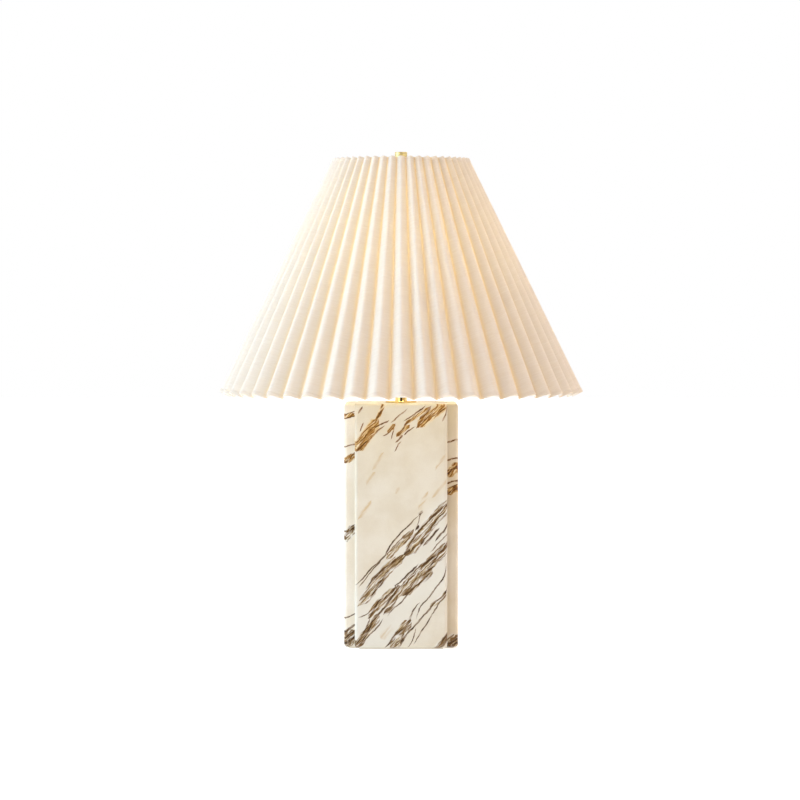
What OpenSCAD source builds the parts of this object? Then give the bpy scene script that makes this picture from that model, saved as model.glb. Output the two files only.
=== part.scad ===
// Marble table lamp: a cross-plan marble column carries a harp and a pleated fabric shade.
// All sizes are millimetres. The origin is the centre of the underside, +Z is up and the
// front of the lamp faces -Y.

/* [Marble column] */
// Height of the marble column
marble_h = 303.5; // [280:0.5:340]
// Width of each outer slab, and of the core behind it
slab_w = 115; // [108:1:130]
// Thickness of the outer slabs
slab_t = 13.5; // [10:0.5:20]
// Radius of the eased edges
arris_r = 4; // [1:0.5:6]
// Diameter of the cavity drilled up the core
cavity_d = 80; // [60:1:84]
// Marble left above the cavity
top_web_t = 25; // [15:1:40]
// Depth of the recess in the underside
recess_h = 34; // [32:1:60]
// Thickness of the felt pad
felt_t = 1.5; // [1:0.5:3]

/* [Clamp in the base] */
// Outer diameter of the threaded pipe
pipe_d = 9.6; // [9:0.1:10.4]
// Bore of the threaded pipe
pipe_bore_d = 6.4; // [5:0.1:7]
// Diameter of the steel bottom plate
plate_d = 92; // [88:1:98]
// Thickness of the bottom plate
plate_t = 2; // [1:0.5:3]
// Diameter of the flat washer
washer_d = 26; // [20:1:34]
// Thickness of the flat washer
washer_t = 1.2; // [0.8:0.1:2]
// Thickness of the split lock washer
lock_t = 1.5; // [1:0.1:2]
// Width of the hexagon nuts across their flats
nut_af = 14; // [13:0.5:17]
// Thickness of the nut under the plate
nut_t = 5; // [4:0.5:6]

/* [Cord inlet] */
// Bore of the grommet
inlet_d = 7; // [6:0.5:8]
// Height of the inlet above the underside of the marble
inlet_h = 13.5; // [12:0.5:15]
// Wall of the grommet
grommet_wall = 2; // [1.5:0.25:2.5]

/* [Neck] */
// Diameter of the brass disc on the marble
disc_d = 39; // [30:1:60]
// Thickness of the disc
disc_t = 2; // [1:0.5:4]
// Diameter of the neck tube
neck_d = 15; // [14:0.5:20]
// Height of the neck tube
neck_h = 39; // [30:1:60]

/* [Harp] */
// Height of the harp from its saddle to the seat of the shade
harp_h = 254; // [250:1:290]
// Greatest width of the harp, outside
harp_w = 118; // [108:1:128]
// Diameter of the harp wire
wire_d = 3.2; // [2.8:0.1:3.8]
// Distance between the arms of the saddle
saddle_w = 54; // [52:1:60]
// Height of the saddle's arms
arm_h = 14; // [12:1:18]
// Thickness of the saddle strip
saddle_t = 1.6; // [1.2:0.1:2]
// Travel of the locking sleeves up the harp's straight legs
sleeve_travel = 20; // [10:1:24]

/* [Socket and bulb] */
// Outer diameter of the socket shell
shell_d = 35.8; // [35:0.2:38]
// Height of the socket cap
cap_h = 24; // [22:1:28]
// Height of the socket shell above the cap
shell_h = 38; // [37:1:44]
// Diameter of the bulb
bulb_d = 60; // [55:1:62]
// Overall length of the bulb
bulb_h = 110; // [104:1:116]

/* [Shade] */
// Diameter over the pleats at the bottom
shade_bottom_d = 458; // [430:1:480]
// Diameter over the pleats at the top
shade_top_d = 171; // [150:1:200]
// Height of the shade
shade_h = 293; // [270:1:300]
// Number of pleats
pleats = 48; // [36:4:60]
// Depth of a pleat at the bottom, square to the slant
pleat_depth = 11.7; // [6:0.1:14]
// Thickness of the pleated fabric with its backing
fabric_t = 0.9; // [0.6:0.1:1.5]
// Drop from the top rim to the underside of the spider washer
fitter_drop = 11.7; // [10:0.1:16]
// Diameter of the ring wires
ring_wire_d = 3; // [2.4:0.2:4]
// Diameter of the spider washer
spider_washer_d = 27; // [24:1:32]

/* [Finial] */
// Diameter of the finial
finial_d = 15.5; // [14:0.5:20]
// Height of the finial
finial_h = 17.4; // [16:0.2:24]

/* [Hidden] */
$fn = 96;

// Clearances: a piece that slides or turns, a loose seat, a welded or glued joint
run_gap = 0.1;
seat_gap = 0.3;
weld_gap = 0.1;
// Cutters pass this far through what they cut
cut = 1;

// Colours
white_marble = [0.93, 0.91, 0.86];
polished_brass = [0.86, 0.68, 0.36];
zinc = [0.72, 0.72, 0.70];
linen = [0.96, 0.93, 0.86];

// Levels from the table up
marble_z = felt_t;
marble_top_z = marble_z + marble_h;
column_w = slab_w + 2 * slab_t;
plate_z = marble_z + recess_h - plate_t;
washer_z = plate_z - washer_t;
lock_z = washer_z - lock_t;
nut_z = lock_z - nut_t;
thread_tail = 1.8;
pipe_z = nut_z - thread_tail;
inlet_z = marble_z + inlet_h;
neck_z = marble_top_z + disc_t;
saddle_z = neck_z + neck_h;

// Base details
felt_inset = arris_r + 1;
recess_d = plate_d + 2 * seat_gap;
pipe_hole_d = pipe_d + 2 * run_gap;
grommet_d = inlet_d + 2 * grommet_wall;
grommet_flange_d = grommet_d + 4;
grommet_flange_t = 2;
neck_wall = 1.6;

// Socket
saddle_nut_t = 3;
cap_z = saddle_z + saddle_t + saddle_nut_t;
cap_wall = 0.9;
cap_hub_d = 16;
cap_hub_h = 9;
cap_rim_h = 2;
set_screw_d = 2.5;
set_screw_head_d = 4;
set_screw_h = 2.2;
shell_wall = 0.6;
shell_tuck = 6;
shell_z = cap_z + cap_h - shell_tuck;
shell_top_z = cap_z + cap_h + shell_h;
cap_d = shell_d + 2 * run_gap + 2 * cap_wall;
lip_t = 0.6;
liner_wall = 0.6;
liner_d = shell_d - 2 * shell_wall - 2 * run_gap;
liner_z = cap_z + cap_h + 1;
socket_body_d = liner_d - 2 * liner_wall - 2 * seat_gap;
switch_z = cap_z + cap_h + 6;
socket_body_z = switch_z - 9.5;
socket_body_top_z = switch_z + 7.5;
shaft_d = 4;
shaft_hole_d = 7;
shaft_in_y = 4;
terminal_x = 11;
terminal_d = 7;
terminal_stem = 5;
knob_d = 12;
knob_l = 14;
knob_y = cap_d / 2 + 4;
screw_shell_bore_d = 27;
screw_shell_wall = 0.5;
contact_t = 1.2;

// Bulb
bulb_z = socket_body_top_z + contact_t + seat_gap;
bulb_cap_d = 26.2;
bulb_cap_h = 22;
bulb_cap_taper = 3.2;
bulb_cap_taper_h = 4;
bulb_cap_wall = 0.6;
bulb_contact_d = 9.4;
bulb_contact_h = 1.6;
insulator_h = 2.6;
bulb_cap_z = bulb_z + bulb_contact_h + insulator_h;
bulb_neck_z = bulb_cap_z + bulb_cap_h;
dome_z = bulb_z + bulb_h - bulb_d / 2;
dome_cut_z = dome_z - 0.24 * bulb_d;
dome_cut_r = sqrt(pow(bulb_d / 2, 2) - pow(dome_z - dome_cut_z, 2));
glass_t = 1.4;
board_t = 1.6;

// Harp: each foot drops over a peg of the saddle, under a sleeve
leg_x = saddle_w / 2;
peg_d = 4;
foot_z = saddle_z + arm_h;
foot_h = 12;
foot_d = 6.2;
peg_h = foot_h - 1;
leg_z = foot_z + foot_h;
sleeve_d = 8;
sleeve_collar_h = 2.5;
sleeve_z = foot_z + 1;
leg_spare = 3.2;
leg_h = seat_gap + sleeve_collar_h + sleeve_travel + leg_spare;
shoulder_z = leg_z + leg_h;
seat_z = saddle_z + harp_h;
stud_flange_t = 1.6;
stud_flange_d = 18;
pad_t = 4;
pad_d = 13;
crown_z = seat_z - stud_flange_t - pad_t / 2;
rivet_d = 4;
rivet_head_d = 7;
rivet_head_h = 1.2;
stud_d = 6.1;
stud_h = 12;

// The harp's curve: the shoulder arc leans out, the side arc comes back in, and the crown
// arc turns to the flat top. The lean is the one at which the arcs fill the height.
bow_x = harp_w / 2 - wire_d / 2;
shoulder_r = 50;
crown_r = 25;
crown_x = 8;
bead = 0.06;
arcs_h = crown_z - shoulder_z;
function side_r(lean) = (bow_x - leg_x) / (1 - cos(lean)) - shoulder_r;
function side_end(lean) = acos((side_r(lean) - bow_x + crown_x) / (side_r(lean) - crown_r));
function bow_h(lean) = (shoulder_r + side_r(lean)) * sin(lean)
    + side_r(lean) * sin(side_end(lean)) + crown_r * (1 - sin(side_end(lean)));
function find_lean(low, high, tries) =
    let (middle = (low + high) / 2)
    tries == 0 ? middle
    : bow_h(middle) > arcs_h ? find_lean(middle, high, tries - 1)
    : find_lean(low, middle, tries - 1);
harp_lean = find_lean(20, 50, 40);
harp_side_r = side_r(harp_lean);
harp_side_end = side_end(harp_lean);

// Shade: a cone over the pleat ridges, with its levels taken from the seat on the harp
washer_hole_d = 10.5;
spider_washer_t = 2;
spider_z = seat_z + seat_gap;
spoke_d = 2.4;
rim_top_z = spider_z + fitter_drop;
rim_bottom_z = rim_top_z - shade_h;
half_angle = atan((shade_bottom_d - shade_top_d) / 2 / shade_h);
depth_ratio = pleat_depth / (shade_bottom_d / 2);
steps_per_pleat = 6;
top_ring_inset = 5;
bottom_ring_inset = 6;

// Finial
finial_z = spider_z + spider_washer_t + seat_gap;

// Tube, washer or disc with a hole
module tube(d_out, d_in, h) {
    difference() {
        cylinder(d = d_out, h = h);
        translate([0, 0, -cut]) cylinder(d = d_in, h = h + 2 * cut);
    }
}

// Centred rectangle whose four corners are arcs
module eased_rect(w, h, r) {
    square([w - 2 * r, h], center = true);
    square([w, h - 2 * r], center = true);
    for (x = [-1, 1], y = [-1, 1])
        translate([x * (w / 2 - r), y * (h / 2 - r)]) circle(r = r);
}

// Hexagon nut with a clearance bore for the pipe
module pipe_nut(h) {
    difference() {
        cylinder(d = nut_af / cos(30), h = h, $fn = 6);
        translate([0, 0, -cut]) cylinder(d = pipe_hole_d, h = h + 2 * cut);
    }
}

// Bar through the column from front to back with every edge eased
module eased_bar() {
    translate([0, 0, marble_z + marble_h / 2]) intersection() {
        linear_extrude(marble_h + cut, center = true) eased_rect(slab_w, column_w, arris_r);
        rotate([90, 0, 0])
            linear_extrude(column_w + cut, center = true) eased_rect(slab_w, marble_h, arris_r);
        rotate([90, 0, 90])
            linear_extrude(slab_w + cut, center = true) eased_rect(column_w, marble_h, arris_r);
    }
}

// Outer slab, made at the front and turned to its side
module slab(turn) {
    rotate([0, 0, turn]) intersection() {
        eased_bar();
        translate([-slab_w / 2 - cut, -slab_w / 2 - slab_t - cut, 0])
            cube([slab_w + 2 * cut, slab_t + cut, marble_top_z + cut]);
    }
}

// Hole for the grommet, from the middle of the lamp out through the back
module inlet_hole() {
    translate([0, 0, inlet_z]) rotate([-90, 0, 0])
        cylinder(d = grommet_d + 2 * run_gap, h = column_w);
}

module felt_pad() {
    reach = column_w - 2 * felt_inset;
    width = slab_w - 2 * felt_inset;
    color([0.16, 0.15, 0.14]) {
        linear_extrude(felt_t) {
            square([reach, width], center = true);
            square([width, reach], center = true);
        }
    }
}

module marble_core() {
    color(white_marble) difference() {
        intersection() {
            union() {
                eased_bar();
                rotate([0, 0, 90]) eased_bar();
            }
            translate([-slab_w / 2, -slab_w / 2, 0]) cube([slab_w, slab_w, marble_top_z + cut]);
        }
        translate([0, 0, marble_z]) cylinder(d = cavity_d, h = marble_h - top_web_t);
        translate([0, 0, marble_z - cut]) cylinder(d = recess_d, h = recess_h + cut);
        cylinder(d = pipe_hole_d, h = marble_top_z + cut);
        inlet_hole();
    }
}

module front_slab() {
    color(white_marble) slab(0);
}

module back_slab() {
    color(white_marble) difference() {
        slab(180);
        inlet_hole();
    }
}

module left_slab() {
    color(white_marble) slab(-90);
}

module right_slab() {
    color(white_marble) slab(90);
}

module bottom_plate() {
    color(zinc) translate([0, 0, plate_z]) tube(plate_d, pipe_hole_d, plate_t);
}

module bottom_washer() {
    color(zinc) translate([0, 0, washer_z]) tube(washer_d, pipe_hole_d, washer_t);
}

// Split ring: one narrow slit across its rim
module lock_washer() {
    slit = 1;
    color(zinc) translate([0, 0, lock_z]) difference() {
        tube(nut_af + 2, pipe_hole_d, lock_t);
        translate([0, -slit / 2, -cut]) cube([nut_af, slit, lock_t + 2 * cut]);
    }
}

module bottom_nut() {
    color(zinc) translate([0, 0, nut_z]) pipe_nut(nut_t);
}

module cord_grommet() {
    shank = slab_t + (slab_w - recess_d) / 2 + 1;
    color([0.1, 0.1, 0.1]) translate([0, column_w / 2, inlet_z]) rotate([90, 0, 0]) difference() {
        union() {
            cylinder(d = grommet_d, h = shank);
            translate([0, 0, -grommet_flange_t])
                cylinder(d = grommet_flange_d, h = grommet_flange_t);
        }
        translate([0, 0, -grommet_flange_t - cut])
            cylinder(d = inlet_d, h = shank + grommet_flange_t + 2 * cut);
    }
}

module threaded_pipe() {
    color(zinc) translate([0, 0, pipe_z]) tube(pipe_d, pipe_bore_d, cap_z + cap_hub_h - 1 - pipe_z);
}

// Flat disc with a small bevel round its upper edge
module top_disc() {
    bevel = disc_t / 4;
    color(polished_brass) translate([0, 0, marble_top_z]) rotate_extrude() polygon([
        [pipe_hole_d / 2, 0], [disc_d / 2, 0], [disc_d / 2, disc_t - bevel],
        [disc_d / 2 - bevel, disc_t], [pipe_hole_d / 2, disc_t]]);
}

module neck_tube() {
    color(polished_brass) translate([0, 0, neck_z]) tube(neck_d, neck_d - 2 * neck_wall, neck_h);
}

// Upright U as seen from the front, open at the top, with round lower corners
module cup_outline(w, h, r) {
    translate([-w / 2, r]) square([w, h - r]);
    translate([-w / 2 + r, 0]) square([w - 2 * r, h]);
    for (side = [-1, 1]) translate([side * (w / 2 - r), r]) circle(r = r);
}

// Bent strip with two arms, a round seat in the middle and a peg on each arm
module harp_saddle() {
    strip_w = 9;
    bend_r = 2.5;
    seat_d = neck_d + 4;
    color(polished_brass) translate([0, 0, saddle_z]) {
        difference() {
            union() {
                rotate([90, 0, 0]) linear_extrude(strip_w, center = true) difference() {
                    cup_outline(saddle_w + saddle_t, arm_h, bend_r + saddle_t);
                    translate([0, saddle_t])
                        cup_outline(saddle_w - saddle_t, arm_h, bend_r);
                }
                cylinder(d = seat_d, h = saddle_t);
            }
            translate([0, 0, -cut]) cylinder(d = pipe_hole_d, h = saddle_t + 2 * cut);
        }
        for (side = [-1, 1])
            translate([side * leg_x, 0, arm_h - cut])
                cylinder(d = peg_d, h = peg_h + cut);
    }
}

module saddle_nut() {
    color(zinc) translate([0, 0, saddle_z + saddle_t]) pipe_nut(saddle_nut_t);
}

// Spun cup: a hub that screws on the pipe, a round shoulder and a straight rim
module socket_cap() {
    hub_r = cap_hub_d / 2;
    out_r = cap_d / 2;
    steps = 8;
    ease = 1;
    shoulder_h = cap_h - shell_tuck - cap_rim_h - cap_hub_h / 2;
    function shoulder(inset) = [for (i = [0:steps])
        let (a = 90 * i / steps)
        [hub_r + (out_r - inset - hub_r) * sin(a),
         cap_hub_h / 2 + inset + shoulder_h * (1 - cos(a))]];
    inner = shoulder(cap_wall);
    color(polished_brass) translate([0, 0, cap_z]) difference() {
        rotate_extrude() polygon(concat(
            [[0, 0], [hub_r - ease, 0], [hub_r, ease]], shoulder(0), [[out_r, cap_h],
            [out_r - cap_wall, cap_h]], [for (i = [0:steps]) inner[steps - i]],
            [[hub_r, cap_hub_h], [0, cap_hub_h]]));
        translate([0, 0, -cut]) cylinder(d = pipe_hole_d, h = cap_hub_h + 2 * cut);
        translate([0, 0, set_screw_h]) rotate([-90, 0, 0])
            cylinder(d = set_screw_d + 2 * run_gap, h = cap_hub_d);
    }
}

// Small screw through the cap's hub that bears on the pipe
module cap_set_screw() {
    head_h = 2;
    slot = 0.6;
    stem = cap_hub_d / 2 - pipe_d / 2 + 1;
    color(zinc) translate([0, pipe_d / 2 + run_gap, cap_z + set_screw_h]) rotate([-90, 0, 0]) {
        difference() {
            union() {
                cylinder(d = set_screw_d, h = stem);
                translate([0, 0, stem]) cylinder(d = set_screw_head_d, h = head_h);
            }
            translate([-set_screw_head_d, -slot / 2, stem + head_h / 2])
                cube([2 * set_screw_head_d, slot, head_h]);
        }
    }
}

// Opening for the switch shaft, cut from the middle out through the front
module shaft_opening(d) {
    translate([0, 0, switch_z]) rotate([90, 0, 0]) cylinder(d = d, h = shell_d);
}

// Brass tube with a lip turned in at its top edge
module socket_shell() {
    out_r = shell_d / 2;
    color(polished_brass) difference() {
        rotate_extrude() polygon([
            [out_r - shell_wall, shell_z], [out_r, shell_z], [out_r, shell_top_z],
            [liner_d / 2 - liner_wall, shell_top_z],
            [liner_d / 2 - liner_wall, shell_top_z - lip_t],
            [out_r - shell_wall, shell_top_z - lip_t]]);
        shaft_opening(shaft_hole_d);
    }
}

module insulating_liner() {
    color([0.55, 0.4, 0.25]) difference() {
        translate([0, 0, liner_z])
            tube(liner_d, liner_d - 2 * liner_wall, shell_top_z - lip_t - liner_z);
        shaft_opening(shaft_hole_d);
    }
}

// Moulded block with the shaft's bearing and a pocket at each side for a terminal
module socket_body() {
    lead = 2;
    r = socket_body_d / 2;
    h = socket_body_top_z - socket_body_z;
    color([0.12, 0.11, 0.1]) difference() {
        translate([0, 0, socket_body_z]) rotate_extrude() polygon([
            [0, 0], [r - lead, 0], [r, lead], [r, h], [0, h]]);
        translate([0, -shaft_in_y, switch_z]) rotate([90, 0, 0])
            cylinder(d = shaft_d + 2 * run_gap, h = shell_d);
        for (side = [-1, 1]) translate([side * terminal_x, 0, switch_z]) rotate([0, side * 90, 0]) {
            cylinder(d = terminal_d + 2, h = shell_d);
            translate([0, 0, -terminal_stem])
                cylinder(d = terminal_d / 2 + 2 * run_gap, h = terminal_stem + cut);
        }
    }
}

// Brass cup that the bulb screws into
module screw_shell() {
    color(polished_brass) translate([0, 0, socket_body_top_z]) difference() {
        cylinder(d = screw_shell_bore_d + 2 * screw_shell_wall,
            h = shell_top_z - 1 - socket_body_top_z);
        translate([0, 0, screw_shell_wall])
            cylinder(d = screw_shell_bore_d, h = shell_top_z - socket_body_top_z);
        translate([0, 0, -cut]) cylinder(d = bulb_contact_d + 4, h = 2 * cut + screw_shell_wall);
    }
}

// Spring tongue under the bulb
module centre_contact() {
    color(polished_brass) translate([0, 0, socket_body_top_z]) {
        cylinder(d = bulb_contact_d - 2, h = contact_t);
    }
}

// Terminal screws, one in each pocket of the socket body
module terminal_screws() {
    head_h = 2.4;
    slot = 0.8;
    color(polished_brass) for (side = [-1, 1])
        translate([side * terminal_x, 0, switch_z]) rotate([0, side * 90, 0]) difference() {
            union() {
                cylinder(d = terminal_d, h = head_h);
                translate([0, 0, -terminal_stem + run_gap])
                    cylinder(d = terminal_d / 2, h = terminal_stem);
            }
            translate([-terminal_d, -slot / 2, head_h - slot]) cube([2 * terminal_d, slot, head_h]);
        }
}

// Arc of wire in the plane of the harp, from angle a to angle b round a centre
module wire_arc(x, z, r, a, b) {
    translate([x, 0, z]) rotate([90, 0, 0]) rotate([0, 0, a])
        rotate_extrude(angle = b - a) translate([r, 0]) circle(d = wire_d);
}

// One side of the harp, from its foot to the middle of the crown. A bead just proud of the
// wire joins each arc to the next.
module harp_side() {
    lean_x = leg_x + shoulder_r * (1 - cos(harp_lean));
    lean_z = shoulder_z + shoulder_r * sin(harp_lean);
    side_x = lean_x - harp_side_r * cos(harp_lean);
    side_z = lean_z + harp_side_r * sin(harp_lean);
    turn_x = side_x + harp_side_r * cos(harp_side_end);
    turn_z = side_z + harp_side_r * sin(harp_side_end);
    translate([leg_x, 0, foot_z]) difference() {
        cylinder(d = foot_d, h = foot_h);
        translate([0, 0, -cut]) cylinder(d = peg_d + 2 * run_gap, h = cut + peg_h + seat_gap);
    }
    translate([leg_x, 0, leg_z - run_gap]) cylinder(d = wire_d, h = leg_h + run_gap);
    wire_arc(leg_x + shoulder_r, shoulder_z, shoulder_r, 180 - harp_lean, 180);
    wire_arc(side_x, side_z, harp_side_r, -harp_lean, harp_side_end);
    wire_arc(turn_x - crown_r * cos(harp_side_end), turn_z - crown_r * sin(harp_side_end),
        crown_r, harp_side_end, 90);
    translate([0, 0, crown_z]) rotate([0, 90, 0]) cylinder(d = wire_d, h = crown_x);
    for (at = [[leg_x, shoulder_z], [lean_x, lean_z], [turn_x, turn_z], [crown_x, crown_z]])
        translate([at[0], 0, at[1]]) sphere(d = wire_d + bead);
}

module harp_bow() {
    color(polished_brass) difference() {
        union() {
            harp_side();
            mirror([1, 0, 0]) harp_side();
            translate([0, 0, crown_z - pad_t / 2]) cylinder(d = pad_d, h = pad_t);
        }
        translate([0, 0, crown_z - pad_t]) cylinder(d = rivet_d + 2 * run_gap, h = 2 * pad_t);
    }
}

// Riveted stud: head under the pad, seat for the shade above it, and the finial's thread
module harp_stud() {
    color(polished_brass) {
        translate([0, 0, crown_z - pad_t / 2 - rivet_head_h]) {
            cylinder(d = rivet_head_d, h = rivet_head_h);
            cylinder(d = rivet_d, h = rivet_head_h + pad_t + stud_flange_t);
        }
        translate([0, 0, seat_z - stud_flange_t]) cylinder(d = stud_flange_d, h = stud_flange_t);
        translate([0, 0, seat_z - stud_flange_t]) cylinder(d = stud_d, h = stud_h + stud_flange_t);
    }
}

// Sleeve that slides on a leg of the harp and locks the foot on its peg
module sleeve(side) {
    collar_z = leg_z + seat_gap;
    h = collar_z + sleeve_collar_h - sleeve_z;
    r = sleeve_d / 2;
    bevel = 0.8;
    bead_t = 0.6;
    bead_h = 1.2;
    color(polished_brass) translate([side * leg_x, 0, sleeve_z]) difference() {
        rotate_extrude() polygon([
            [0, 0], [r + bead_t, 0], [r + bead_t, bead_h], [r, bead_h + bead_t],
            [r, h - bevel], [r - bevel, h], [0, h]]);
        translate([0, 0, -cut]) cylinder(d = foot_d + 2 * run_gap, h = collar_z - sleeve_z + cut);
        cylinder(d = wire_d + 2 * run_gap, h = h + cut);
    }
}

module left_sleeve() {
    sleeve(-1);
}

module right_sleeve() {
    sleeve(1);
}

module switch_shaft() {
    color(polished_brass) translate([0, -shaft_in_y - seat_gap, switch_z]) rotate([90, 0, 0])
        cylinder(d = shaft_d, h = knob_y + knob_l / 2 - shaft_in_y);
}

// Fluted knob pushed on the shaft
module switch_knob() {
    flutes = 10;
    flute_r = 1.4;
    flute_z = 2.5;
    rear_bevel = 1;
    nose_bevel = 1.5;
    r = knob_d / 2;
    color([0.1, 0.1, 0.1]) translate([0, -knob_y, switch_z]) rotate([90, 0, 0]) difference() {
        rotate_extrude() polygon([
            [0, 0], [r - rear_bevel, 0], [r, rear_bevel], [r, knob_l - nose_bevel],
            [r - nose_bevel, knob_l], [0, knob_l]]);
        translate([0, 0, -cut]) cylinder(d = shaft_d + 2 * run_gap, h = knob_l / 2 + 1 + cut);
        for (i = [0:flutes - 1]) rotate([0, 0, 360 * i / flutes])
            translate([r + flute_r / 2, 0, flute_z]) cylinder(r = flute_r, h = knob_l);
    }
}

// Frosted globe, open where it meets the body
module bulb_dome() {
    color([0.98, 0.95, 0.86]) difference() {
        translate([0, 0, dome_z]) sphere(d = bulb_d);
        translate([0, 0, dome_z]) sphere(d = bulb_d - 2 * glass_t);
        translate([0, 0, dome_cut_z - bulb_d])
            cylinder(d = 2 * bulb_d, h = bulb_d);
    }
}

// Flared housing between the screw cap and the globe, open at the top
module bulb_body() {
    neck_r = bulb_cap_d / 2 + 0.3;
    steps = 6;
    wall = 1.5;
    floor_t = 2;
    function flare(inset) = [for (i = [0:steps])
        let (t = i / steps)
        [neck_r - inset + (dome_cut_r - neck_r) * (1 - cos(90 * t)) / 2
            + (dome_cut_r - neck_r) * t / 2,
         bulb_neck_z + (dome_cut_z - bulb_neck_z) * t]];
    inner = flare(wall);
    color([0.95, 0.95, 0.93]) rotate_extrude() polygon(concat(
        [[0, bulb_neck_z]], flare(0), [for (i = [0:steps - 1]) inner[steps - i]],
        [[neck_r - wall, bulb_neck_z + floor_t], [0, bulb_neck_z + floor_t]]));
}

// Aluminium disc with the light-emitting chips on it
module led_board() {
    chips = 8;
    chip = [3, 3, 0.8];
    board_r = dome_cut_r - 3.5;
    chip_ring_r = 0.55 * board_r;
    color([0.9, 0.9, 0.88]) translate([0, 0, dome_cut_z - 1 - board_t]) {
        cylinder(r = board_r, h = board_t);
        for (i = [0:chips - 1]) rotate([0, 0, 360 * i / chips])
            translate([chip_ring_r - chip[0] / 2, -chip[1] / 2, board_t - run_gap]) cube(chip);
    }
}

module bulb_cap() {
    r = bulb_cap_d / 2;
    color(zinc) translate([0, 0, bulb_cap_z]) difference() {
        rotate_extrude() polygon([
            [0, 0], [r - bulb_cap_taper, 0], [r, bulb_cap_taper_h], [r, bulb_cap_h],
            [0, bulb_cap_h]]);
        translate([0, 0, bulb_cap_taper_h]) cylinder(r = r - bulb_cap_wall, h = bulb_cap_h);
    }
}

module bulb_insulator() {
    color([0.08, 0.08, 0.09]) translate([0, 0, bulb_z + bulb_contact_h]) rotate_extrude() polygon([
        [0, 0], [bulb_contact_d / 2, 0], [bulb_cap_d / 2 - bulb_cap_taper, insulator_h],
        [0, insulator_h]]);
}

module bulb_contact() {
    taper = 1.2;
    color(zinc) translate([0, 0, bulb_z]) rotate_extrude() polygon([
        [0, 0], [bulb_contact_d / 2 - taper, 0], [bulb_contact_d / 2, bulb_contact_h],
        [0, bulb_contact_h]]);
}

// Pleated cone. The depth of a pleat is square to the slant and shrinks with the radius,
// from a round ridge at the outside to a sharp fold at the inside.
function fold(part) = 1 - cos(180 * part);
function slant_point(r, z, inward, a) = [
    (r - inward * cos(half_angle)) * cos(a),
    (r - inward * cos(half_angle)) * sin(a),
    z - inward * sin(half_angle)];
function rim(r, z, inset) = [for (p = [0:pleats - 1], s = [0:steps_per_pleat - 1])
    let (part = s / steps_per_pleat - 0.5)
    slant_point(r, z, inset + depth_ratio * r * fold(part), 360 * (p + part) / pleats)];

// Triangles of a closed band between two rings of points
function band(low, high, n) = [for (i = [0:n - 1], half = [0, 1])
    let (next = (i + 1) % n)
    half == 0 ? [low + i, high + i, low + next] : [low + next, high + i, high + next]];

module shade_fabric() {
    n = pleats * steps_per_pleat;
    bottom_r = shade_bottom_d / 2;
    top_r = shade_top_d / 2;
    color(linen) polyhedron(
        points = concat(rim(bottom_r, rim_bottom_z, 0), rim(top_r, rim_top_z, 0),
            rim(top_r, rim_top_z, fabric_t), rim(bottom_r, rim_bottom_z, fabric_t)),
        faces = concat(band(0, n, n), band(n, 2 * n, n), band(2 * n, 3 * n, n),
            band(3 * n, 0, n)),
        convexity = 10);
}

// Centre line of a ring that rests in the folds, given by its distance along the slant from
// the rim of radius r at height z, counted down the slant
function ring_place(r, z, down) =
    let (ridge_r = r + down * sin(half_angle))
    let (inward = depth_ratio * ridge_r + fabric_t + seat_gap + ring_wire_d / 2)
    [ridge_r - inward * cos(half_angle), z - down * cos(half_angle) - inward * sin(half_angle)];
top_ring_at = ring_place(shade_top_d / 2, rim_top_z, top_ring_inset);
bottom_ring_at = ring_place(shade_bottom_d / 2, rim_bottom_z, -bottom_ring_inset);

module wire_ring(place, d) {
    rotate_extrude() translate(place) circle(d = d);
}

module top_ring() {
    color(linen) wire_ring(top_ring_at, ring_wire_d);
}

module bottom_ring() {
    color(linen) wire_ring(bottom_ring_at, ring_wire_d);
}

// Three wires from the rim of the spider washer to the top ring
module spider_spokes() {
    start_z = spider_z + spider_washer_t / 2;
    rise = top_ring_at[1] - start_z;
    spoke_l = norm([top_ring_at[0], rise]);
    color(zinc) difference() {
        for (i = [0:2]) rotate([0, 0, 90 + 120 * i]) translate([0, 0, start_z])
            rotate([0, 90 - atan(rise / top_ring_at[0]), 0]) cylinder(d = spoke_d, h = spoke_l);
        translate([0, 0, spider_z - cut])
            cylinder(d = spider_washer_d + 2 * weld_gap, h = spider_washer_t + 3 * cut);
        wire_ring(top_ring_at, ring_wire_d + 2 * weld_gap);
    }
}

module spider_washer() {
    color(zinc) translate([0, 0, spider_z])
        tube(spider_washer_d, washer_hole_d, spider_washer_t);
}

// Turned knob: a foot, a waist and a straight drum with a flat top, bored for the stud
module finial_knob() {
    r = finial_d / 2;
    base_r = r - 1;
    cove_r = r - 2.6;
    waist_r = r - 3;
    base_h = 2;
    waist_z = 5;
    drum_z = 8;
    cove = 0.8;
    bevel = 0.5;
    color(polished_brass) translate([0, 0, finial_z]) difference() {
        rotate_extrude() polygon([
            [0, 0], [base_r, 0], [base_r, base_h], [cove_r, base_h + cove], [waist_r, waist_z],
            [cove_r, drum_z - cove], [r - bevel, drum_z], [r, drum_z + bevel],
            [r, finial_h - bevel], [r - bevel, finial_h], [0, finial_h]]);
        translate([0, 0, -cut])
            cylinder(d = stud_d + 2 * run_gap, h = seat_z + stud_h + 1 - finial_z + cut);
    }
}

felt_pad();
marble_core();
front_slab();
back_slab();
left_slab();
right_slab();
bottom_plate();
bottom_washer();
lock_washer();
bottom_nut();
cord_grommet();
threaded_pipe();
top_disc();
neck_tube();
harp_saddle();
saddle_nut();
socket_cap();
cap_set_screw();
socket_shell();
insulating_liner();
socket_body();
screw_shell();
centre_contact();
terminal_screws();
harp_bow();
harp_stud();
switch_shaft();
switch_knob();
bulb_dome();
bulb_body();
led_board();
bulb_cap();
bulb_insulator();
bulb_contact();
left_sleeve();
right_sleeve();
shade_fabric();
top_ring();
bottom_ring();
spider_spokes();
spider_washer();
finial_knob();
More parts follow.
